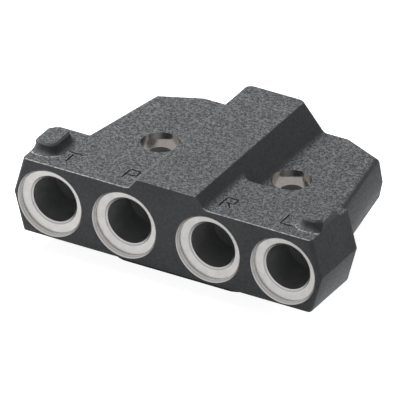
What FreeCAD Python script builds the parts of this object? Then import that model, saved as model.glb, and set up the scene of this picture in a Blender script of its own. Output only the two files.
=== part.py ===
import FreeCAD, Part
import math
import os
import Sketcher

os.makedirs("parts", exist_ok=True)

# A cast valve block with four hose ports in its front bar. It screws down on a mounting face.
# Millimetres. X runs along the row of ports, Y from the front face to the back, Z up.
# The origin is under the middle of the block, in the plane of the mounting face.

NODE = "valve_block"

# Name, value in millimetres or degrees, and what it measures.
SIZES = [
    ("block_depth", 99.5, "front face to the back"),
    ("parting_height", 25.6, "mounting face to the parting line, where the ends are widest"),
    ("bar_depth", 33.2, "port bar, front to back"),
    ("wall_above_ports", 2.7, "rim of a spotface to the top of the port bar"),
    ("wall_below_ports", 1.1, "rim of a spotface to the underside of the port bar"),
    ("wall_beside_ports", 2.6, "rim of an outer spotface to the bar's end at the parting line"),
    ("end_draft", 15.0, "lean of the bar's ends and of the nubs"),
    ("ridge_top_width", 29.4, "flat top of the ridge"),
    ("ridge_rise", 5.6, "top of the port bar to the top of the ridge"),
    ("ridge_flank_angle", 39.6, "lean of the ridge's flanks"),
    ("plate_step", 8.9, "bar's end to the side of the rear plate, at the parting line"),
    ("plate_shoulder_width", 119.4, "rear plate at its shoulders, at the parting line"),
    ("plate_shoulder_depth", 89.5, "front face to the shoulders of the rear plate"),
    ("plate_back_width", 74.6, "straight back edge of the rear plate"),
    ("plate_drop", 6.9, "top of the port bar to the top of the rear plate"),
    ("plate_bottom_height", 16.8, "mounting face to the underside of the rear plate"),
    ("plate_draft", 13.0, "lean of the rear plate's side walls, seen from the front"),
    ("nub_length", 12.3, "nub along the bar, at its foot"),
    ("nub_front_gap", 8.2, "front face to the foot of the nub"),
    ("nub_back_gap", 6.1, "foot of the nub to the back of the bar"),
    ("nub_height", 4.6, "nub above the bar"),
    ("nub_overrun", 0.3, "nub past the bar's end, before the end is cut"),
    ("nub_foot_radius", 3.5, "hollow foot of the nub"),
    ("nub_top_chamfer", 0.8, "top edge of the nub"),
    ("nub_corner_radius", 4.8, "upright corners of the nub, at its foot"),
    ("port_height", 24.8, "mounting face to the port centres"),
    ("inner_port_spacing", 42.8, "between the two middle ports"),
    ("outer_port_pitch", 38.2, "from a middle port to the outer port beside it"),
    ("port_diameter", 22.0, "port bore, over the thread"),
    ("port_depth", 20.5, "spotface to the flat end of the port bore"),
    ("port_chamfer", 1.0, "chamfer at the mouth of the port bore"),
    ("spotface_diameter", 31.0, "spotface round a port"),
    ("spotface_depth", 3.3, "front face to the spotface"),
    ("spotface_chamfer", 1.0, "chamfer round the spotface's rim"),
    ("bolt_spacing", 67.4, "between the two mounting bolts"),
    ("bolt_line_depth", 53.3, "front face to the line of the mounting bolts"),
    ("bolt_hole_diameter", 11.0, "through hole of a mounting bolt"),
    ("bolt_seat_diameter", 18.0, "seat of a bolt head"),
    ("bolt_seat_depth", 5.5, "top of the rear plate to the seat of a bolt head"),
    ("pad_front_inset", 9.8, "front face to the mounting pad"),
    ("pad_length", 80.0, "mounting pad, front to back"),
    ("pad_width", 88.0, "mounting pad, side to side"),
    ("pad_corner_cut", 13.6, "slant cut off each corner of the mounting pad"),
    ("pad_corner_radius", 10.4, "upright corners of the mounting pad"),
    ("passage_diameter", 11.0, "oil passage in the mounting face"),
    ("passage_row_spacing", 40.0, "between the two rows of passages"),
    ("seal_recess_diameter", 17.5, "recess for the seal round a passage"),
    ("seal_recess_depth", 1.5, "depth of that recess"),
    ("gallery_diameter", 9.0, "cored gallery from a port to its passage"),
    ("gallery_overrun", 1.5, "end of a straight gallery, past the far wall of its passage"),
    ("gallery_lead", 9.0, "straight start of an outer gallery, past the port's end"),
    ("gallery_bend_spacing", 96.0, "between the bends of the two outer galleries"),
    ("gallery_bend_depth", 62.0, "front face to those bends"),
    ("gallery_bend_radius", 15.0, "centreline radius of the galleries' bends"),
    ("front_corner_radius", 2.0, "front corners and lower ends of the bar"),
    ("plate_edge_radius", 3.0, "top edge of the rear plate"),
    ("ridge_corner_radius", 3.5, "upright back corners of the ridge"),
    ("hollow_radius", 4.0, "other hollow corners of the casting"),
    ("edge_radius", 0.8, "other rounded edges of the casting"),
]

# Sizes that follow from others: name, formula and what it measures.
DERIVED = [
    ("rim_radius", "spotface_diameter / 2 + spotface_chamfer", "outer rim of a spotface"),
    ("bar_length", "inner_port_spacing + 2 * (outer_port_pitch + rim_radius + wall_beside_ports)",
     "port bar, end to end at the parting line"),
    ("bar_top_height", "port_height + rim_radius + wall_above_ports", "mounting face to the top of the bar"),
    ("bar_bottom_height", "port_height - rim_radius - wall_below_ports",
     "mounting face to the underside of the bar"),
    ("ridge_top_height", "bar_top_height + ridge_rise", "mounting face to the top of the ridge"),
    ("plate_top_height", "bar_top_height - plate_drop", "mounting face to the top of the rear plate"),
    ("plate_front_width", "bar_length - 2 * plate_step", "rear plate beside the bar, at the parting line"),
    ("nub_width", "bar_depth - nub_front_gap - nub_back_gap", "nub across the bar, at its foot"),
]

doc = FreeCAD.newDocument("ValveBlock")


def fill_sheet():
    """Write the sizes to a sheet, one row each, and give each value its name."""
    sheet = doc.addObject("Spreadsheet::Sheet", "Sizes")
    rows = [(name, str(number), meaning) for name, number, meaning in SIZES]
    rows += [(name, f"={formula}", meaning) for name, formula, meaning in DERIVED]
    for row, (name, content, meaning) in enumerate(rows, start=1):
        sheet.setAlias(f"B{row}", name)
        sheet.set(f"A{row}", meaning)
        sheet.set(f"B{row}", content)
    doc.recompute()
    return sheet


sizes = fill_sheet()
block = doc.addObject("PartDesign::Body", "Block")
block.Label = NODE

# Expressions that several sketches share.
BAR_TOP_HALF = ("(Sizes.bar_length / 2"
                " - (Sizes.bar_top_height - Sizes.parting_height) * tan(Sizes.end_draft))")
BAR_BOTTOM_HALF = ("(Sizes.bar_length / 2"
                   " - (Sizes.parting_height - Sizes.bar_bottom_height) * tan(Sizes.end_draft))")
INNER_PORT = "Sizes.inner_port_spacing / 2"
OUTER_PORT = "(Sizes.inner_port_spacing / 2 + Sizes.outer_port_pitch)"


def behind_front(depth):
    """Y of a point that lies this far behind the front face."""
    return f"{depth} - Sizes.block_depth / 2"


def origin_plane(role):
    """One of the body's own base planes."""
    return next(f for f in block.Origin.OriginFeatures if f.Role == role)


def new_sketch(name, role, offset):
    """An empty sketch on a base plane, moved along the plane's normal."""
    sketch = block.newObject("Sketcher::SketchObject", name)
    sketch.AttachmentSupport = [(origin_plane(role), "")]
    sketch.MapMode = "FlatFace"
    sketch.setExpression("AttachmentOffset.Base.z", offset)
    return sketch


def pin_point(sketch, geometry, point, x, y):
    """Hold one point of a sketch at the given expressions."""
    for axis, place in (("X", x), ("Y", y)):
        constraint = Sketcher.Constraint(f"Distance{axis}", -1, 1, geometry, point, value(place))
        index = sketch.addConstraint(constraint)
        sketch.setExpression(f"Constraints[{index}]", place)


def value(expression):
    """The number that an expression stands for."""
    return float(sizes.evalExpression(expression))


def spot(x, y):
    """A sketch point from two expressions."""
    return FreeCAD.Vector(value(x), value(y), 0)


def polygon(sketch, corners):
    """A closed outline through corners that are given as expressions."""
    first = sketch.GeometryCount
    count = len(corners)
    for k in range(count):
        sketch.addGeometry(Part.LineSegment(spot(*corners[k]), spot(*corners[(k + 1) % count])), False)
    for k, (x, y) in enumerate(corners):
        sketch.addConstraint(Sketcher.Constraint("Coincident", first + k, 2, first + (k + 1) % count, 1))
        pin_point(sketch, first + k, 1, x, y)


def rounded_box(sketch, left, right, front, back, radius):
    """A rectangle with round corners, its sides given as expressions."""
    centres = [(f"{right} - {radius}", f"{back} - {radius}"), (f"{left} + {radius}", f"{back} - {radius}"),
               (f"{left} + {radius}", f"{front} + {radius}"), (f"{right} - {radius}", f"{front} + {radius}")]
    quarter = math.pi / 2
    arcs = []
    for k, centre in enumerate(centres):
        circle = Part.Circle(spot(*centre), FreeCAD.Vector(0, 0, 1), value(radius))
        arcs.append(Part.ArcOfCircle(circle, k * quarter, (k + 1) * quarter))
    for k, arc in enumerate(arcs):
        sketch.addGeometry(arc, False)
        sketch.addGeometry(Part.LineSegment(arc.EndPoint, arcs[(k + 1) % 4].StartPoint), False)
    for k, centre in enumerate(centres):
        pin_point(sketch, 2 * k, 3, *centre)
        index = sketch.addConstraint(Sketcher.Constraint("Radius", 2 * k, value(radius)))
        sketch.setExpression(f"Constraints[{index}]", radius)
        sketch.addConstraint(Sketcher.Constraint("Tangent", 2 * k, 2, 2 * k + 1, 1))
        sketch.addConstraint(Sketcher.Constraint("Tangent", 2 * k + 1, 2, (2 * k + 2) % 8, 1))


def symmetric(right_side):
    """A symmetric outline from its right-hand corners, which run from the front or foot up."""
    left_side = [(f"-({x})", y) for x, y in reversed(right_side)]
    return right_side + left_side


def circles(sketch, centres, diameter):
    """Equal circles at centres that are given as expressions."""
    for k, (x, y) in enumerate(centres):
        sketch.addGeometry(Part.Circle(spot(x, y), FreeCAD.Vector(0, 0, 1), value(diameter) / 2), False)
        pin_point(sketch, k, 3, x, y)
        index = sketch.addConstraint(Sketcher.Constraint("Diameter", k, value(diameter)))
        sketch.setExpression(f"Constraints[{index}]", diameter)


def pad(name, sketch, length, draft=None, flip=False):
    """A pad of the sketch along its normal, or against it where flip is set."""
    feature = block.newObject("PartDesign::Pad", name)
    feature.Profile = sketch
    feature.setExpression("Length", length)
    feature.Reversed = flip
    if draft:
        feature.setExpression("TaperAngle", f"-{draft}")
    doc.recompute()
    return feature


def pocket(name, sketch, length=None, flip=False):
    """A pocket of the sketch, through everything where no length is given."""
    feature = block.newObject("PartDesign::Pocket", name)
    feature.Profile = sketch
    feature.Reversed = flip
    if length:
        feature.setExpression("Length", length)
    else:
        feature.Type = "ThroughAll"
    doc.recompute()
    return feature


def dress(kind, name, size, radius, test):
    """A fillet or chamfer on every edge that passes the test."""
    base = block.Tip
    names = [f"Edge{k}" for k, edge in enumerate(base.Shape.Edges, start=1) if test(edge)]
    if not names:
        raise RuntimeError(f"no edge found for {name}")
    feature = block.newObject(f"PartDesign::{kind}", name)
    feature.Base = (base, names)
    feature.setExpression(size, radius)
    doc.recompute()
    return feature


def size(name):
    """A value from the sheet."""
    return float(sizes.get(name))


def near(a, b, gap=0.01):
    """Whether two numbers are as good as equal."""
    return abs(a - b) < gap


def middle(edge):
    """The point halfway along an edge."""
    return edge.valueAt((edge.FirstParameter + edge.LastParameter) / 2)


# Where the faces of the casting lie, for finding its edges.
front_y = -size("block_depth") / 2
back_y = size("block_depth") / 2
bar_back_y = front_y + size("bar_depth")
bar_top = size("bar_top_height")
bar_bottom = size("bar_bottom_height")
plate_top = size("plate_top_height")
plate_bottom = size("plate_bottom_height")
ridge_top = size("ridge_top_height")
pad_half = size("pad_width") / 2
far_out = size("bar_length") / 4
beside_plate = size("plate_front_width") / 2
slack = 0.1


def runs_along(edge, axis):
    """Whether a straight edge is parallel to an axis, given as x, y or z."""
    first, last = edge.valueAt(edge.FirstParameter), edge.valueAt(edge.LastParameter)
    step = last - first
    return near(abs(getattr(step, axis)), step.Length) and near(step.Length, edge.Length)


def lies_at(edge, **places):
    """Whether both ends of an edge lie at the given x, y or z."""
    ends = [edge.valueAt(edge.FirstParameter), edge.valueAt(edge.LastParameter)]
    return all(near(getattr(end, axis), place) for end in ends for axis, place in places.items())


# Ridge over the middle, from the front face to the back.
ridge_outline = new_sketch("RidgeOutline", "XZ_Plane", "Sizes.block_depth / 2")
polygon(ridge_outline, symmetric([
    ("Sizes.ridge_top_width / 2 + (Sizes.ridge_top_height - Sizes.parting_height)"
     " * tan(Sizes.ridge_flank_angle)", "Sizes.parting_height"),
    ("Sizes.ridge_top_width / 2", "Sizes.ridge_top_height"),
]))
pad("Ridge", ridge_outline, "Sizes.block_depth", flip=True)

# Port bar: a long bar with ends that lean in above and below the parting line. The upper lean
# is cut last, so that each nub's foot runs out at the bar's end.
bar_outline = new_sketch("BarOutline", "XZ_Plane", "Sizes.block_depth / 2")
polygon(bar_outline, symmetric([
    (BAR_BOTTOM_HALF, "Sizes.bar_bottom_height"),
    ("Sizes.bar_length / 2", "Sizes.parting_height"),
    ("Sizes.bar_length / 2", "Sizes.bar_top_height"),
]))
pad("Bar", bar_outline, "Sizes.bar_depth", flip=True)

# Nub on each end of the bar, flush with the bar's end once that is cut.
NUB_OUTER = f"({BAR_TOP_HALF} + Sizes.nub_overrun)"
NUB_FRONT = f"({behind_front('Sizes.nub_front_gap')})"
for side, span in (("Right", (f"{NUB_OUTER} - Sizes.nub_length", NUB_OUTER)),
                   ("Left", (f"-{NUB_OUTER}", f"-{NUB_OUTER} + Sizes.nub_length"))):
    nub_outline = new_sketch(f"{side}NubOutline", "XY_Plane", "Sizes.bar_top_height")
    rounded_box(nub_outline, *span, NUB_FRONT, f"{NUB_FRONT} + Sizes.nub_width", "Sizes.nub_corner_radius")
    pad(f"{side}Nub", nub_outline, "Sizes.nub_height", "Sizes.end_draft")
dress("Chamfer", "NubTops", "Size", "Sizes.nub_top_chamfer",
      lambda e: lies_at(e, z=bar_top + size("nub_height")))
dress("Fillet", "NubFeet", "Radius", "Sizes.nub_foot_radius",
      lambda e: lies_at(e, z=bar_top) and e.Length < size("nub_width") and abs(middle(e).x) > far_out)
end_cut = new_sketch("EndCut", "XZ_Plane", "Sizes.block_depth / 2")
outside = [
    ("Sizes.bar_length / 2", "Sizes.parting_height"),
    ("Sizes.bar_length", "Sizes.parting_height"),
    ("Sizes.bar_length", "2 * Sizes.bar_top_height - Sizes.parting_height"),
    (f"2 * {BAR_TOP_HALF} - Sizes.bar_length / 2", "2 * Sizes.bar_top_height - Sizes.parting_height"),
]
polygon(end_cut, outside)
polygon(end_cut, [(f"-({x})", y) for x, y in outside])
pocket("BarEnds", end_cut)

# Rear plate, in two halves that overlap under the ridge. Each half runs back along its own side
# line, and its side wall leans in above and below the parting line.
side_lines = new_sketch("PlateSides", "XY_Plane", "Sizes.parting_height")
for k, sign in enumerate(("", "-")):
    ends = [(f"{sign}Sizes.plate_front_width / 2", behind_front("Sizes.bar_depth")),
            (f"{sign}Sizes.plate_shoulder_width / 2", behind_front("Sizes.plate_shoulder_depth"))]
    side_lines.addGeometry(Part.LineSegment(spot(*ends[0]), spot(*ends[1])), False)
    pin_point(side_lines, k, 1, *ends[0])
    pin_point(side_lines, k, 2, *ends[1])
UPPER_LEAN = "(Sizes.plate_top_height - Sizes.parting_height) * tan(Sizes.plate_draft)"
LOWER_LEAN = "(Sizes.parting_height - Sizes.plate_bottom_height) * tan(Sizes.plate_draft)"
for k, (side, sign) in enumerate((("Right", ""), ("Left", "-"))):
    outline = new_sketch(f"{side}PlateOutline", "XZ_Plane", "Sizes.block_depth / 2 - Sizes.bar_depth")
    polygon(outline, [
        ("0", "Sizes.plate_bottom_height"),
        (f"{sign}(Sizes.plate_front_width / 2 - {LOWER_LEAN})", "Sizes.plate_bottom_height"),
        (f"{sign}Sizes.plate_front_width / 2", "Sizes.parting_height"),
        (f"{sign}(Sizes.plate_front_width / 2 - {UPPER_LEAN})", "Sizes.plate_top_height"),
        ("0", "Sizes.plate_top_height"),
    ])
    half = pad(f"{side}Plate", outline, "Sizes.block_depth")
    half.ReferenceAxis = (side_lines, [f"Edge{k + 1}"])
    doc.recompute()

# Upright back wall and shoulders, cut across the plate.
back_trim = new_sketch("BackTrim", "XY_Plane", "Sizes.ridge_top_height")
polygon(back_trim, symmetric([
    ("Sizes.block_depth * 2", "Sizes.block_depth"),
    ("Sizes.block_depth * 2", behind_front("Sizes.bar_depth")),
    ("Sizes.plate_shoulder_width - Sizes.plate_back_width / 2",
     behind_front("2 * Sizes.plate_shoulder_depth - Sizes.block_depth")),
    ("Sizes.plate_back_width / 2", "Sizes.block_depth / 2"),
]))
pocket("BackWall", back_trim)

# Mounting pad under the plate and the bar.
PAD_BACK = "(Sizes.pad_front_inset + Sizes.pad_length)"
pad_outline = new_sketch("PadOutline", "XY_Plane", "0")
polygon(pad_outline, symmetric([
    ("Sizes.pad_width / 2 - Sizes.pad_corner_cut", behind_front("Sizes.pad_front_inset")),
    ("Sizes.pad_width / 2", behind_front("Sizes.pad_front_inset + Sizes.pad_corner_cut")),
    ("Sizes.pad_width / 2", behind_front(f"{PAD_BACK} - Sizes.pad_corner_cut")),
    ("Sizes.pad_width / 2 - Sizes.pad_corner_cut", behind_front(PAD_BACK)),
]))
pad("MountingPad", pad_outline, "Sizes.parting_height")


# Rounded casting edges. The wide roundings come first and the narrow ones last.
def on_plate_rim(edge):
    """Top edges of the rear plate, and the back edges of the ridge's flanks."""
    at = middle(edge)
    if lies_at(edge, z=plate_top):
        return not near(at.y, bar_back_y) and (abs(at.x) > far_out or near(at.y, back_y))
    return lies_at(edge, y=back_y) and plate_top < at.z < ridge_top - slack


def in_hollow(edge):
    """Hollow corners of the casting, over the mounting pad."""
    at = middle(edge)
    if near(at.y, bar_back_y) and not near(at.z, bar_top) and not near(at.z, bar_bottom):
        return abs(at.x) < beside_plate and not runs_along(edge, "z")
    return (near(at.z, bar_top) or near(at.z, plate_top)) and runs_along(edge, "y") and abs(at.x) < far_out


def is_pad_corner(edge):
    """Upright edges of the mounting pad."""
    at = middle(edge)
    return runs_along(edge, "z") and at.z < plate_bottom and not near(at.y, bar_back_y)


def is_bar_corner(edge):
    """The bar's upright front corners and the long lower edges of its ends."""
    lower_end = lies_at(edge, z=bar_bottom) and runs_along(edge, "y")
    return abs(middle(edge).x) > beside_plate and (lies_at(edge, y=front_y) or lower_end)


def is_narrow_edge(edge):
    """The other outer edges of the bar, and the top edges of the ridge."""
    at = middle(edge)
    if near(at.z, ridge_top):
        return not near(at.y, front_y)
    if near(at.y, bar_back_y):
        underside = near(at.z, bar_bottom) and abs(at.x) > pad_half
        return near(at.z, bar_top) or underside or abs(at.x) > beside_plate
    return near(at.z, bar_bottom) and near(at.y, front_y)


dress("Fillet", "PlateRim", "Radius", "Sizes.plate_edge_radius", on_plate_rim)
dress("Fillet", "Hollows", "Radius", "Sizes.hollow_radius", in_hollow)
dress("Fillet", "PadCorners", "Radius", "Sizes.pad_corner_radius", is_pad_corner)
dress("Fillet", "BarCorners", "Radius", "Sizes.front_corner_radius", is_bar_corner)
dress("Fillet", "NarrowEdges", "Radius", "Sizes.edge_radius", is_narrow_edge)


def drill(name, sketch, diameter, depth, cut_diameter, cut_depth, flip=False):
    """Holes with a wide mouth at the circles of a sketch, through everything where no depth is given."""
    feature = block.newObject("PartDesign::Hole", name)
    feature.Profile = sketch
    doc.recompute()
    feature.Reversed = flip
    feature.HoleCutType = "Counterbore"
    feature.HoleCutCustomValues = True
    feature.DepthType = "Dimension" if depth else "ThroughAll"
    feature.DrillPoint = "Flat"
    feature.setExpression("Diameter", diameter)
    feature.setExpression("HoleCutDiameter", cut_diameter)
    feature.setExpression("HoleCutDepth", cut_depth)
    if depth:
        feature.setExpression("Depth", depth)
    doc.recompute()
    return feature


def is_rim(edge, diameter, **places):
    """Whether an edge is a full circle of this diameter at the given y or z."""
    return near(edge.Length, math.pi * diameter) and lies_at(edge, **places)


# Four ports in the front face, each in a spotface.
ports = [(f"-{OUTER_PORT}", "Sizes.port_height"), (f"-{INNER_PORT}", "Sizes.port_height"),
         (INNER_PORT, "Sizes.port_height"), (OUTER_PORT, "Sizes.port_height")]
port_centres = new_sketch("PortCentres", "XZ_Plane", "Sizes.block_depth / 2")
circles(port_centres, ports, "Sizes.port_diameter")
drill("Ports", port_centres, "Sizes.port_diameter", "Sizes.spotface_depth + Sizes.port_depth",
      "Sizes.spotface_diameter", "Sizes.spotface_depth")
dress("Chamfer", "SpotfaceRims", "Size", "Sizes.spotface_chamfer",
      lambda e: is_rim(e, size("spotface_diameter"), y=front_y))
dress("Chamfer", "PortMouths", "Size", "Sizes.port_chamfer",
      lambda e: is_rim(e, size("port_diameter"), y=front_y + size("spotface_depth")))

# Two mounting bolts. Their seats are cut from above, past the foot of the ridge.
bolt_centres = new_sketch("BoltCentres", "XY_Plane", "Sizes.ridge_top_height")
BOLT_LINE = behind_front("Sizes.bolt_line_depth")
circles(bolt_centres, [("-Sizes.bolt_spacing / 2", BOLT_LINE), ("Sizes.bolt_spacing / 2", BOLT_LINE)],
        "Sizes.bolt_hole_diameter")
drill("BoltHoles", bolt_centres, "Sizes.bolt_hole_diameter", None, "Sizes.bolt_seat_diameter",
      "Sizes.ridge_top_height - Sizes.plate_top_height + Sizes.bolt_seat_depth")

# Four oil passages in the mounting face, each in a recess for its seal.
FRONT_ROW = f"({BOLT_LINE} - Sizes.passage_row_spacing / 2)"
BACK_ROW = f"({BOLT_LINE} + Sizes.passage_row_spacing / 2)"
passage_centres = new_sketch("PassageCentres", "XY_Plane", "0")
circles(passage_centres, [(f"-{INNER_PORT}", FRONT_ROW), (INNER_PORT, FRONT_ROW),
                          (f"-{INNER_PORT}", BACK_ROW), (INNER_PORT, BACK_ROW)], "Sizes.passage_diameter")
drill("Passages", passage_centres, "Sizes.passage_diameter",
      "Sizes.port_height + Sizes.passage_diameter / 2", "Sizes.seal_recess_diameter",
      "Sizes.seal_recess_depth", flip=True)

# Straight galleries from the two middle ports back through the front row of passages.
gallery_mouths = new_sketch("GalleryMouths", "XZ_Plane", "Sizes.block_depth / 2")
circles(gallery_mouths, [(f"-{INNER_PORT}", "Sizes.port_height"), (INNER_PORT, "Sizes.port_height")],
        "Sizes.gallery_diameter")
pocket("StraightGalleries", gallery_mouths,
       "Sizes.bolt_line_depth - (Sizes.passage_row_spacing - Sizes.passage_diameter) / 2"
       " + Sizes.gallery_overrun")


def left_bend(before, corner, after, radius):
    """The arc that turns left at a corner, between the directions of two neighbour points."""
    inward = (corner - before).normalize()
    outward = (after - corner).normalize()
    reach = radius * math.tan(inward.getAngle(outward) / 2)
    start = corner - inward * reach
    centre = start + FreeCAD.Vector(-inward.y, inward.x, 0) * radius
    spokes = (start - centre, corner + outward * reach - centre)
    angles = [math.atan2(spoke.y, spoke.x) for spoke in spokes]
    return Part.ArcOfCircle(Part.Circle(centre, FreeCAD.Vector(0, 0, 1), radius), *angles)


def bent_path(sketch, corners, radius):
    """An open path through corners, with a left bend of this radius at each one between its ends."""
    spots = [spot(*corner) for corner in corners]
    last = len(corners) - 1
    bends = [left_bend(*spots[k - 1:k + 2], value(radius)) for k in range(1, last)]
    arc_ends = [place for bend in bends for place in (bend.StartPoint, bend.EndPoint)]
    leg_ends = [spots[0]] + arc_ends + [spots[last]]
    for k in range(last):
        sketch.addGeometry(Part.LineSegment(leg_ends[2 * k], leg_ends[2 * k + 1]), False)
    for bend in bends:
        sketch.addGeometry(bend, False)
    pin_point(sketch, 0, 1, *corners[0])
    pin_point(sketch, last - 1, 2, *corners[last])
    for k in range(1, last):
        arc = last + k - 1
        index = sketch.addConstraint(Sketcher.Constraint("Radius", arc, value(radius)))
        sketch.setExpression(f"Constraints[{index}]", radius)
        sketch.addConstraint(Sketcher.Constraint("Tangent", k - 1, 2, arc, 1))
        sketch.addConstraint(Sketcher.Constraint("Tangent", arc, 2, k, 1))
        corner = sketch.addGeometry(Part.Point(spots[k]), True)
        pin_point(sketch, corner, 1, *corners[k])
        sketch.addConstraint(Sketcher.Constraint("PointOnObject", corner, 1, k - 1))
        sketch.addConstraint(Sketcher.Constraint("PointOnObject", corner, 1, k))


# A bent gallery from each outer port to the back row, clear of the bolt hole. Each one starts
# inside its port's bore. The left-hand path runs the other way, so that it turns left as well.
GALLERY_START = "Sizes.spotface_depth + Sizes.port_depth / 2"
right_path = [
    (OUTER_PORT, behind_front(GALLERY_START)),
    (OUTER_PORT, behind_front("Sizes.spotface_depth + Sizes.port_depth + Sizes.gallery_lead")),
    ("Sizes.gallery_bend_spacing / 2", behind_front("Sizes.gallery_bend_depth")),
    (INNER_PORT, BACK_ROW),
]
left_path = [(f"-({x})", y) for x, y in reversed(right_path)]
for side, corners, mouth in (("Right", right_path, OUTER_PORT), ("Left", left_path, f"-{OUTER_PORT}")):
    section = new_sketch(f"{side}GallerySection", "XZ_Plane", f"Sizes.block_depth / 2 - ({GALLERY_START})")
    circles(section, [(mouth, "Sizes.port_height")], "Sizes.gallery_diameter")
    path = new_sketch(f"{side}GalleryPath", "XY_Plane", "Sizes.port_height")
    bent_path(path, corners, "Sizes.gallery_bend_radius")
    doc.recompute()
    gallery = block.newObject("PartDesign::SubtractivePipe", f"{side}Gallery")
    gallery.Profile = section
    gallery.Refine = False
    gallery.Spine = (path, [f"Edge{k}" for k in range(1, len(path.Shape.Edges) + 1)])
    doc.recompute()

# Every feature has to be sound before the part is written.
for item in doc.Objects:
    if {"Invalid", "Error"} & set(item.State):
        raise RuntimeError(f"{item.Name} did not build")
    if item.isDerivedFrom("PartDesign::Feature") and (item.Shape.isNull() or not item.Shape.isValid()):
        raise RuntimeError(f"{item.Name} has a faulty shape")
if len(block.Shape.Solids) != 1:
    raise RuntimeError("the block is not one solid")
block.Shape.exportStep(f"parts/{NODE}.step")
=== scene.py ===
"""The valve block as it looks: one iron casting with a sand-cast skin, machined ports and bolt seats.

The casting is a merged copy of the CAD node. Its port seats are turned, its nubs stand upright at
the bar's ends, its edges are worn round and the port letters are cut into it. Its colour carries a
painted highlight along the bar's front edge and round each nub's foot, and painted shade in the
letters. Lengths are in metres.
"""

import math

import bmesh
import bpy
from mathutils import Matrix, Vector


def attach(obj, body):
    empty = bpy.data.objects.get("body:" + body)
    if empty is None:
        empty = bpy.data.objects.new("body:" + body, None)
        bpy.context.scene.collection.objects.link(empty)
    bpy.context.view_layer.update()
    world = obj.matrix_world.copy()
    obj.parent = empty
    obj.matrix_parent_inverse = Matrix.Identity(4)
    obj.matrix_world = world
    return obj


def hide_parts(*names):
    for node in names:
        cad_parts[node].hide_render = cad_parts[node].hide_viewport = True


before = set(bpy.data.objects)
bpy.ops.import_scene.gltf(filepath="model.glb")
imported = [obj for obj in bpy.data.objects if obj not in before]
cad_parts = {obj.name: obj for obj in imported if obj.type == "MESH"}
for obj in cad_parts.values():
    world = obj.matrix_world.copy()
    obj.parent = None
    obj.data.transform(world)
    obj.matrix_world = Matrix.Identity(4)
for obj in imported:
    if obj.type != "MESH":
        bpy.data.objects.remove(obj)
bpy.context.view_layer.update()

MM = 0.001
NODE = "valve_block"

# Where the machined places of the casting lie, in the row's frame. What lies round a port's axis,
# past its mouth and down to the gallery depth, is bore.
FRONT_Y = -49.75 * MM
PORT_Z = 24.8 * MM
PORTS_X = [x * MM for x in (-59.6, -21.4, 21.4, 59.6)]
RIM_RADIUS = 16.5 * MM
BORE_RADIUS = 11.0 * MM
MOUTH_DEPTH = 4.3 * MM
GALLERY_DEPTH = 60.0 * MM
BOLTS_X = [x * MM for x in (-33.7, 33.7)]
BOLT_Y = 3.55 * MM
SEAT_RADIUS = 9.0 * MM
BOLT_RADIUS = 5.5 * MM
PASSAGES = [(x * MM, y * MM) for x in (-21.4, 21.4) for y in (-16.45, 23.55)]
RECESS_RADIUS = 8.75 * MM
BAR_TOP_Z = 44.0 * MM
PARTING_Z = 25.6 * MM

# Radius and depth of the turned corners in a port's mouth: in the CAD node, and as finished here,
# with a shallow conical seat in place of the flat one.
SEAT_CORNERS = [
    ((15.5 * MM, 1.0 * MM), (15.7 * MM, 0.8 * MM)),
    ((15.5 * MM, 3.3 * MM), (15.6 * MM, 2.7 * MM)),
    ((12.0 * MM, 3.3 * MM), (12.1 * MM, 3.4 * MM)),
]

# The bar's ends lean in above the parting line. Above the crease a nub's outer side is upright.
END_X = 78.7 * MM
END_LEAN = math.tan(math.radians(15))
NUB_CREASE_Z = 45.0 * MM
NUB_INNER_X = 60.0 * MM
NUB_FOOT_Y = FRONT_Y + 10.5 * MM

# Worn edges: their width and the length that an edge beside one needs. The painted highlight along
# the bar's front edge: how far it reaches, where it fades behind the front face, above the bar and
# towards its ends, and the low band round each nub's foot that gets a painted highlight too.
WORN_WIDTH = 0.35 * MM
WORN_ROOM = 2.2 * WORN_WIDTH
HIGHLIGHT_REACH = 1.4 * MM
HIGHLIGHT_BEHIND = (1.0 * MM, 2.0 * MM)
HIGHLIGHT_ABOVE = (0.4 * MM, 1.4 * MM)
HIGHLIGHT_ACROSS = (72.2 * MM, 73.0 * MM)
FOOT_RISE = (0.005 * MM, 0.02 * MM)
FOOT_FADE = (0.10 * MM, 0.16 * MM)

# How near counts as touching, how near corners merge, the angle below which an edge goes, and the
# one above which it stays sharp.
GAP = 0.02 * MM
MERGE = 0.001 * MM
FLAT = math.radians(0.3)
SHARP = math.radians(28)

# Order of the materials on the casting.
CAST, MACHINED, BORE, BOLT_METAL, LETTER = range(5)


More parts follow.
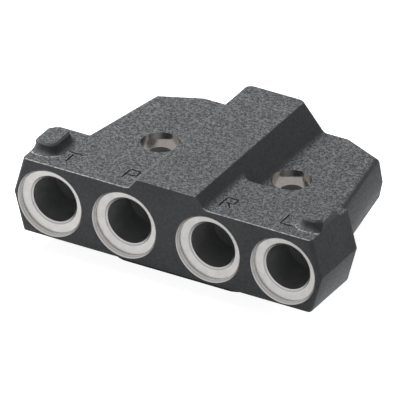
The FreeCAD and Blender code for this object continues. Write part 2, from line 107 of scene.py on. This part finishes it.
class Graph:
    """A procedural material, built node by node."""

    def __init__(self, name):
        self.material = bpy.data.materials.new(name)
        self.material.use_nodes = True
        self.tree = self.material.node_tree
        self.shader = self.tree.nodes["Principled BSDF"]
        self.place = self.add("ShaderNodeTexCoord").outputs["Object"]

    def add(self, kind, settings=None, **values):
        """A node, with values for its inputs by name or, after an underscore, by number."""
        node = self.tree.nodes.new(kind)
        for name, setting in (settings or {}).items():
            setattr(node, name, setting)
        for name, value in values.items():
            key = int(name[1:]) if name[1:].isdigit() else name.replace("_", " ")
            self.feed(node.inputs[key], value)
        return node

    def feed(self, socket, value):
        """Link another node's output to a socket, or set a plain value on it."""
        if isinstance(value, bpy.types.NodeSocket):
            self.tree.links.new(value, socket)
        else:
            socket.default_value = value

    def set(self, **values):
        """Feed inputs of the shader by name."""
        for name, value in values.items():
            self.feed(self.shader.inputs[name.replace("_", " ")], value)

    def noise(self, scale, detail=2.0, roughness=0.5):
        node = self.add("ShaderNodeTexNoise", Vector=self.place, Scale=scale, Detail=detail,
                        Roughness=roughness)
        return node.outputs["Fac"]

    def span(self, value, low, high, to_low=0.0, to_high=1.0):
        """A smooth step from to_low at low to to_high at high."""
        node = self.add("ShaderNodeMapRange", {"interpolation_type": "SMOOTHSTEP"}, Value=value,
                        _1=low, _2=high, _3=to_low, _4=to_high)
        return node.outputs["Result"]

    def math(self, operation, a, b=0.0):
        return self.add("ShaderNodeMath", {"operation": operation}, _0=a, _1=b).outputs["Value"]

    def product(self, first, *others):
        for other in others:
            first = self.math("MULTIPLY", first, other)
        return first

    def mix(self, factor, a, b):
        """A blend of two colours. A Mix node's colours are its inputs 6 and 7 and its output 2."""
        node = self.add("ShaderNodeMix", {"data_type": "RGBA"}, _0=factor, _6=a, _7=b)
        return node.outputs[2]

    def bump(self, height, distance):
        return self.add("ShaderNodeBump", Height=height, Distance=distance).outputs["Normal"]

    def along(self, vector, axis):
        """One part of a vector, given as X, Y or Z."""
        return self.add("ShaderNodeSeparateXYZ", Vector=vector).outputs[axis]

    def facing(self, axis):
        """How far a face looks along an axis."""
        return self.along(self.add("ShaderNodeNewGeometry").outputs["Normal"], axis)

    def tool_lines(self, axis, scale):
        """Fine lines across an axis, as a turning tool or a grinding wheel leaves them."""
        node = self.add("ShaderNodeTexNoise", {"noise_dimensions": "1D"},
                        W=self.along(self.place, axis), Scale=scale, Detail=1.0)
        return node.outputs["Fac"]

    def outer_edges(self, reach):
        """1 along outer edges, 0 on flat ground and in corners."""
        near = self.add("ShaderNodeAmbientOcclusion", {"samples": 8, "inside": True, "only_local": True},
                        Distance=reach)
        return self.span(near.outputs["AO"], 0.86, 0.62)


def grey(level, warmth=0.0):
    """An RGBA grey from an sRGB level of 0 to 255, warmer or cooler by a few levels."""
    def linear(v):
        v = v / 255
        return v / 12.92 if v <= 0.04045 else ((v + 0.055) / 1.055) ** 2.4
    return (linear(level + warmth), linear(level), linear(level - warmth), 1.0)


def cast_skin():
    """Sand-cast iron: grainy on top, smoother on the flanks, a painted highlight on the bar's front
    edge.
    """
    g = Graph("cast_skin")
    up = g.facing("Z")
    grain = g.noise(1900.0, roughness=0.7)
    pits = g.noise(800.0)
    broad = g.noise(45.0, detail=3.0)
    on_top = g.span(up, 0.80, 0.98, 0.12, 1.0)
    # Specks: grain tone, with painted shade in their hollows and painted highlight where they rise.
    specks = g.span(g.math("ADD", g.product(grain, 0.6), g.product(pits, 0.4)), 0.40, 0.62)
    rough_colour = g.mix(specks, grey(56, -2), grey(142, -2))
    smooth_colour = g.mix(g.span(broad, 0.3, 0.7), grey(80, -2), grey(88, -2))
    colour = g.mix(on_top, smooth_colour, rough_colour)

    y, z = g.along(g.place, "Y"), g.along(g.place, "Z")
    from_middle = g.math("ABSOLUTE", g.along(g.place, "X"))
    # Painted highlight along the bar's front top edge, fading behind it, above the bar and at its ends.
    edge = g.product(g.outer_edges(HIGHLIGHT_REACH), g.span(pits, 0.40, 0.56, 0.4, 1.0),
                     g.span(y, *(FRONT_Y + d for d in HIGHLIGHT_BEHIND), 1.0, 0.0),
                     g.span(z, *(BAR_TOP_Z + d for d in HIGHLIGHT_ABOVE), 1.0, 0.15),
                     g.span(from_middle, *HIGHLIGHT_ACROSS, 1.0, 0.0))
    # Painted highlight on a low band round the front of each nub's foot.
    foot = g.product(g.span(z, *(BAR_TOP_Z + d for d in FOOT_RISE)),
                     g.span(z, *(BAR_TOP_Z + d for d in FOOT_FADE), 1.0, 0.0),
                     g.math("GREATER_THAN", from_middle, NUB_INNER_X),
                     g.math("LESS_THAN", y, NUB_FOOT_Y),
                     g.span(pits, 0.40, 0.60, 0.05, 0.6))
    # Both painted highlights, only on faces that look up, lighten the colour to a near-white grey.
    painted_highlight = g.product(g.math("MAXIMUM", edge, foot), g.span(up, 0.2, 0.9))

    g.set(Base_Color=g.mix(painted_highlight, colour, grey(235)), Specular_IOR_Level=0.2,
          Roughness=g.span(specks, 0.0, 1.0, 0.62, 0.48),
          Normal=g.bump(g.product(specks, on_top), 0.25 * MM))
    return g.material


def machined_metal():
    """Bright machined iron in the port mouths and on the mounting face, with its tool lines."""
    g = Graph("machined_metal")
    broad = g.noise(260.0)
    fine = g.noise(2600.0)
    lines = g.span(g.tool_lines("Y", 1700.0), 0.42, 0.58)
    frontal = g.math("ABSOLUTE", g.facing("Y"))
    on_chamfer = g.span(frontal, 0.94, 0.88)
    on_wall = g.span(frontal, 0.6, 0.3)
    seat_colour = g.mix(g.span(broad, 0.3, 0.7), grey(188, 2), grey(196, 2))
    seat_colour = g.mix(on_chamfer, seat_colour, g.mix(lines, grey(158, 2), grey(192, 2)))
    wall_colour = g.mix(lines, grey(158, 2), grey(240, 1))
    g.set(Base_Color=g.mix(on_wall, seat_colour, wall_colour), Metallic=1.0,
          Roughness=g.span(on_wall, 0.0, 1.0, 0.26, 0.20),
          Normal=g.bump(fine, 0.008 * MM))
    return g.material


def dark_bore():
    """Oiled dark walls of the bores."""
    g = Graph("dark_bore")
    film = g.noise(180.0)
    g.set(Base_Color=g.mix(g.span(film, 0.3, 0.7), grey(144, -1), grey(152, -1)),
          Roughness=g.span(film, 0.2, 0.8, 0.14, 0.24), Specular_IOR_Level=0.35,
          Normal=g.bump(film, 0.02 * MM))
    return g.material


def bolt_metal():
    """Bright iron in the seats of the bolts."""
    g = Graph("bolt_metal")
    fine = g.noise(900.0)
    g.set(Base_Color=g.mix(g.span(fine, 0.3, 0.7), grey(186, 3), grey(194, 3)), Metallic=1.0,
          Roughness=g.span(fine, 0.2, 0.8, 0.10, 0.15), Normal=g.bump(fine, 0.001 * MM))
    return g.material


def letter_groove():
    """Painted shade at the bottom of the port letters: a dark colour for their narrow grooves."""
    g = Graph("letter_groove")
    groove_mottle = g.noise(1400.0)
    g.set(Base_Color=g.mix(groove_mottle, grey(24), grey(40)), Roughness=g.span(groove_mottle, 0.2, 0.8, 0.7, 0.9),
          Specular_IOR_Level=0.1, Normal=g.bump(groove_mottle, 0.03 * MM))
    return g.material


MATERIALS = [cast_skin(), machined_metal(), dark_bore(), bolt_metal(), letter_groove()]


def link(name, data):
    """A new object at the origin, in the scene."""
    thing = bpy.data.objects.new(name, data)
    bpy.context.scene.collection.objects.link(thing)
    return thing


def as_mesh(thing):
    """A new mesh of an object with its modifiers or its curve worked out."""
    graph = bpy.context.evaluated_depsgraph_get()
    return bpy.data.meshes.new_from_object(thing.evaluated_get(graph))


# Each port letter, with the X of its left side and its width in millimetres.
LETTERS = [("T", -58.6, 7.2), ("P", -27.0, 5.4), ("R", 22.8, 5.4), ("L", 54.0, 6.2)]
LETTER_FOOT_Y = FRONT_Y + 7.6 * MM
LETTER_HEIGHT = 8.0 * MM
STROKE_RADIUS = 0.42 * MM
STROKE_SINK = 0.10 * MM
STEM_GAP = 1.3 * MM
BEND = 1.1 * MM


def rounded(points, radius):
    """A path through points with its inner corners rounded off."""
    path = [points[0]]
    for before, corner, after in zip(points, points[1:], points[2:]):
        a = corner + (before - corner).normalized() * radius
        b = corner + (after - corner).normalized() * radius
        path += [a.lerp(corner, t).lerp(corner.lerp(b, t), t) for t in (0.0, 0.25, 0.5, 0.75, 1.0)]
    return path + [points[-1]]


def strokes_of(letter, width):
    """The strokes of a port letter, in its own plane."""
    h, w, m = LETTER_HEIGHT, width, LETTER_HEIGHT * 0.46
    bowl = [(0, 0), (0, h), (w, h), (w, m), (w * 0.25, m)]
    shapes = {
        "T": [[(0, h), (w, h)], [(w * 0.42, 0), (w * 0.42, h - STEM_GAP)]],
        "P": [bowl],
        "R": [bowl, [(w * 0.5, m), (w, 0)]],
        "L": [[(0, h), (0, 0), (w, 0)]],
    }
    return [[Vector((x, y, 0)) for x, y in stroke] for stroke in shapes[letter]]


def letter_cutter(letter, x, width):
    """A closed tube along each stroke, half sunk into the top of the bar."""
    curve = bpy.data.curves.new(f"letter_{letter}", "CURVE")
    curve.dimensions = "3D"
    curve.bevel_depth = STROKE_RADIUS
    curve.bevel_resolution = 2
    curve.use_fill_caps = True
    place = Vector((x, LETTER_FOOT_Y, BAR_TOP_Z - STROKE_SINK))
    for stroke in strokes_of(letter, width):
        path = rounded(stroke, BEND) if letter in "PR" and len(stroke) > 2 else stroke
        spline = curve.splines.new("POLY")
        spline.points.add(len(path) - 1)
        for point, spot in zip(spline.points, path):
            point.co = (*(place + spot), 1)
    tube = link(f"letter_{letter}", curve)
    mesh = as_mesh(tube)
    bpy.data.objects.remove(tube)
    mesh.materials.clear()
    for material in MATERIALS:
        mesh.materials.append(material)
    for face in mesh.polygons:
        face.material_index = LETTER
    return link(f"cutter_{letter}", mesh)


def cut(piece, cutter):
    """Take a cutter's volume off a piece, for good."""
    modifier = piece.modifiers.new("cut", "BOOLEAN")
    modifier.object = cutter
    modifier.operation = "DIFFERENCE"
    modifier.solver = "EXACT"
    modifier.use_self = True
    mesh = as_mesh(piece)
    piece.modifiers.remove(modifier)
    piece.data = mesh
    bpy.data.objects.remove(cutter)


def around(face, centres, axes):
    """How far a face reaches from the nearest of some parallel axes, seen along them."""
    a, b = axes
    return min(max(math.hypot(v.co[a] - x, v.co[b] - y) for v in face.verts) for x, y in centres)


def surface_kind(face):
    """Which material a face of the casting has, from where it lies."""
    at = face.calc_center_median()
    deep = at.y - FRONT_Y
    port = around(face, [(x, PORT_Z) for x in PORTS_X], (0, 2))
    bolt = around(face, [(x, BOLT_Y) for x in BOLTS_X], (0, 1))
    passage = around(face, PASSAGES, (0, 1))
    if GAP < deep < MOUTH_DEPTH + GAP and port < RIM_RADIUS + GAP:
        return MACHINED
    if GAP < deep < GALLERY_DEPTH + GAP and port < BORE_RADIUS + GAP:
        return BORE
    if bolt < BOLT_RADIUS + GAP:
        return BORE
    if bolt < SEAT_RADIUS + GAP:
        return BOLT_METAL
    if at.z < GAP or (passage < RECESS_RADIUS + GAP and at.z < PARTING_Z):
        return MACHINED
    return CAST


def on_ring(place, x, radius, depth):
    """Whether a point lies on one turned edge of the port at x."""
    return (abs(place.y - FRONT_Y - depth) < GAP
            and abs(math.hypot(place.x - x, place.z - PORT_Z) - radius) < GAP)


def turn_seat(bm, x):
    """Turn the mouth of one port: a narrow rim chamfer, a low wall and a conical seat."""
    rings = [{v for v in bm.verts if on_ring(v.co, x, *cad)} for cad, _ in SEAT_CORNERS]
    outer, inner = rings[1:]
    flat = [face for face in bm.faces if all(v in outer or v in inner for v in face.verts)]
    bmesh.ops.delete(bm, geom=flat, context="FACES")
    for ring, (_, (radius, depth)) in zip(rings, SEAT_CORNERS):
        for v in ring:
            spoke = Vector((v.co.x - x, 0.0, v.co.z - PORT_Z)).normalized()
            v.co = Vector((x, FRONT_Y + depth, PORT_Z)) + spoke * radius
    loops = [edge for edge in bm.edges if any(set(edge.verts) <= ring for ring in (outer, inner))]
    seat = bmesh.ops.bridge_loops(bm, edges=loops)["faces"]
    bm.normal_update()
    for face in seat:
        if face.normal.y > 0:
            face.normal_flip()


def end_at(height):
    """How far out the bar's leaning end stands at a height above the parting line."""
    return END_X - (height - PARTING_Z) * END_LEAN


def on_end(place):
    """Whether a point lies on an upper end face of the bar."""
    return place.z > PARTING_Z - GAP and abs(abs(place.x) - end_at(place.z)) < GAP


def stand_nubs_up(bm):
    """Crease both ends of the bar and make the outer side of each nub upright above that."""
    ends = [face for face in bm.faces if all(on_end(v.co) for v in face.verts)]
    parts = {part for face in ends for part in (face, *face.edges, *face.verts)}
    bmesh.ops.bisect_plane(bm, geom=list(parts), dist=MERGE, plane_co=(0.0, 0.0, NUB_CREASE_Z),
                           plane_no=(0.0, 0.0, 1.0))
    for v in bm.verts:
        if v.co.z > NUB_CREASE_Z and on_end(v.co):
            v.co.x = math.copysign(end_at(NUB_CREASE_Z), v.co.x)


def is_worn(edge):
    """Whether a cast edge on top of the bar or above it is sharp, with room to round it."""
    if len(edge.link_faces) != 2 or any(face.material_index != CAST for face in edge.link_faces):
        return False
    high = min(v.co.z for v in edge.verts) > BAR_TOP_Z - GAP
    roomy = all(near.calc_length() > WORN_ROOM for v in edge.verts for near in v.link_edges)
    return edge.is_convex and edge.calc_face_angle() > SHARP and high and roomy


def casting():
    """The whole casting without its letters, as one closed mesh."""
    bm = bmesh.new()
    bm.from_mesh(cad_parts[NODE].data)
    bmesh.ops.remove_doubles(bm, verts=bm.verts, dist=MERGE)
    bmesh.ops.dissolve_limit(bm, angle_limit=FLAT, verts=bm.verts, edges=bm.edges)
    for x in PORTS_X:
        turn_seat(bm, x)
    stand_nubs_up(bm)
    for face in bm.faces:
        face.material_index = surface_kind(face)
        face.smooth = True
    bmesh.ops.bevel(bm, geom=[edge for edge in bm.edges if is_worn(edge)], offset=WORN_WIDTH,
                    offset_type="OFFSET", segments=2, profile=0.5, affect="EDGES",
                    clamp_overlap=True, material=-1)
    mesh = bpy.data.meshes.new("block_casting")
    bm.to_mesh(mesh)
    bm.free()
    for layer in [a for a in mesh.attributes if a.name in ("custom_normal", "sharp_edge", "sharp_face")]:
        mesh.attributes.remove(layer)
    for material in MATERIALS:
        mesh.materials.append(material)
    return link("block_casting", mesh)


def keep_crisp(mesh):
    """Mark the shallow edges that stay sharp: the inner rim of each seat, and each nub's crease."""
    rim = SEAT_CORNERS[2][1]
    rims = {v.index for v in mesh.vertices if any(on_ring(v.co, x, *rim) for x in PORTS_X)}
    creases = {v.index for v in mesh.vertices if abs(v.co.z - NUB_CREASE_Z) < GAP and on_end(v.co)}
    for edge in mesh.edges:
        if any(set(edge.vertices) <= corners for corners in (rims, creases)):
            edge.use_edge_sharp = True


block = casting()
for letter, x, width in LETTERS:
    cut(block, letter_cutter(letter, x * MM, width * MM))
block.data.set_sharp_from_angle(angle=SHARP)
keep_crisp(block.data)
even = block.modifiers.new("even_normals", "WEIGHTED_NORMAL")
even.keep_sharp = True
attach(block, "root")
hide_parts(NODE)


# The floor lies a hair below the block. Its own light makes it white to the camera, and keeps it
# bright in reflections. The sky is white to both, and dim to everything else.
FLOOR_GAP = 0.2 * MM
FLOOR_HALF = 3.0
FLOOR_TO_CAMERA = 0.92
FLOOR_TO_GLOSS = 0.35
SKY = 0.12


def floor_paint():
    """Pale floor that reads white to the camera and keeps the block's shadow."""
    g = Graph("floor_paint")
    ray = g.add("ShaderNodeLightPath").outputs
    shine = g.math("ADD", g.product(ray["Is Camera Ray"], FLOOR_TO_CAMERA),
                   g.product(ray["Is Glossy Ray"], FLOOR_TO_GLOSS))
    g.set(Base_Color=g.mix(g.noise(3.0), grey(232), grey(236)), Roughness=0.9, Specular_IOR_Level=0.0,
          Emission_Color=(1.0, 1.0, 1.0, 1.0), Emission_Strength=shine)
    return g.material


def studio_floor():
    """A wide floor under the block."""
    bm = bmesh.new()
    bmesh.ops.create_grid(bm, x_segments=1, y_segments=1, size=FLOOR_HALF)
    mesh = bpy.data.meshes.new("studio_floor")
    bm.to_mesh(mesh)
    bm.free()
    mesh.materials.append(floor_paint())
    mesh.transform(Matrix.Translation((0.0, 0.0, -FLOOR_GAP)))
    return link("studio_floor", mesh)


def world_light():
    """White to the camera and to reflections, a dim even sky to everything else."""
    world = bpy.data.worlds.new("studio")
    bpy.context.scene.world = world
    world.use_nodes = True
    tree = world.node_tree
    ray = tree.nodes.new("ShaderNodeLightPath")
    clear = tree.nodes.new("ShaderNodeMath")
    clear.operation = "MAXIMUM"
    tree.links.new(ray.outputs["Is Camera Ray"], clear.inputs[0])
    tree.links.new(ray.outputs["Is Glossy Ray"], clear.inputs[1])
    level = tree.nodes.new("ShaderNodeMapRange")
    level.inputs["To Min"].default_value = SKY
    tree.links.new(clear.outputs["Value"], level.inputs["Value"])
    background = tree.nodes["Background"]
    background.inputs["Color"].default_value = (1.0, 1.0, 1.0, 1.0)
    tree.links.new(level.outputs["Result"], background.inputs["Strength"])


def area_lamp(name, place, turn, width, depth, power):
    """A flat lamp at a place. Unturned, it shines straight down."""
    lamp = bpy.data.lights.new(name, "AREA")
    lamp.shape = "RECTANGLE"
    lamp.size = width
    lamp.size_y = depth
    lamp.energy = power
    box = link(name, lamp)
    box.location = place
    box.rotation_euler = turn
    return box


studio_floor()
world_light()

# A soft key light from the upper left, a metre away, and a faint glow that comes up from the floor
# beside the block's right-hand end.
key_place = Vector((-0.62, 0.15, 0.77)).normalized()
area_lamp("key", key_place, key_place.to_track_quat("Z", "Y").to_euler(),
          width=0.45, depth=0.45, power=11.0)
glow = area_lamp("low_glow", (0.075, 0.0, 0.0005), (math.pi, 0.0, 0.0),
                 width=0.03, depth=0.10, power=0.028)
glow.visible_camera = False
glow.visible_glossy = False

# Camera at the photograph's angle: 30 degrees round to the right and 30 degrees up, almost without
# perspective.
VIEW_TARGET = Vector((-8.24, -5.3, 19.2)) * MM
VIEW_WIDTH = 178.0 * MM
AZIMUTH = math.radians(30)
ELEVATION = math.radians(30)
camera_data = bpy.data.cameras.new("camera")
camera_data.lens = 1500
camera_data.sensor_width = 36
camera_data.clip_start = 0.1
camera_data.clip_end = 60
camera = link("camera", camera_data)
back = Vector((math.sin(AZIMUTH) * math.cos(ELEVATION), -math.cos(AZIMUTH) * math.cos(ELEVATION),
               math.sin(ELEVATION)))
camera.location = VIEW_TARGET + back * (VIEW_WIDTH * camera_data.lens / camera_data.sensor_width)
camera.rotation_euler = back.to_track_quat("Z", "Y").to_euler()
bpy.context.scene.camera = camera
bpy.context.scene.view_settings.view_transform = "Standard"
